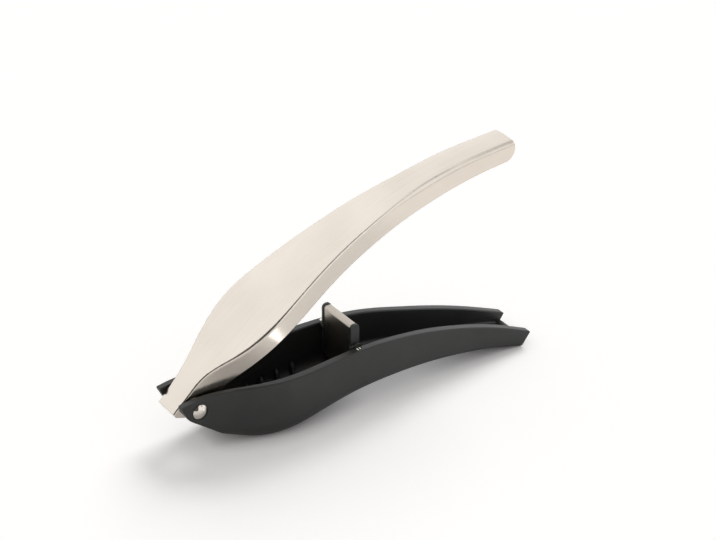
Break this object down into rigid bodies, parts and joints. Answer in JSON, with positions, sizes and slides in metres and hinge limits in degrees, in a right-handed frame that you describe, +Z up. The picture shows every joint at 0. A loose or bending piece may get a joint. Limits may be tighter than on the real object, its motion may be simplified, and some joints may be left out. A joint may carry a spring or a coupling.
{
  "type": "lever nutcracker press",
  "caption": "Lever nutcracker press: satin metal upper lever riveted to a black cast trough with a folding stop plate.",
  "frame": {"origin": "under the middle of the open press, on the surface that it stands on", "axes": "+X from the pivot to the handle end, +Y across to the left wall seen from the pivot end, +Z up"},
  "size_m": [0.1895, 0.0398, 0.1081],
  "materials": {
    "satin_metal": "satin",
    "black_enamel": "satin",
    "polished_pin": "polished",
    "black_nylon": "matte",
    "white_nylon": "matte"
  },
  "bodies": {
    "base": {"lower_lever": "black_enamel", "pivot_rivet": "polished_pin", "rivet_cap": "polished_pin", "near_washer": "white_nylon", "far_washer": "white_nylon", "stop_pin": "polished_pin"},
    "top": {"upper_lever": "satin_metal", "pivot_spacer": "polished_pin"},
    "stop": {"stop_plate": "satin_metal", "near_stop_cheek": "black_nylon", "far_stop_cheek": "black_nylon"}
  },
  "joints": [
    {"name": "lever_hinge", "type": "hinge", "parent": "base", "child": "top", "pos_m": [-0.0839, 0, 0.0223], "axis": [0, -1, 0], "range_deg": [-18, 32]},
    {"name": "stop_hinge", "type": "hinge", "parent": "base", "child": "stop", "pos_m": [-0.0041, 0, 0.0296], "axis": [0, 1, 0], "range_deg": [0, 90]}
  ]
}
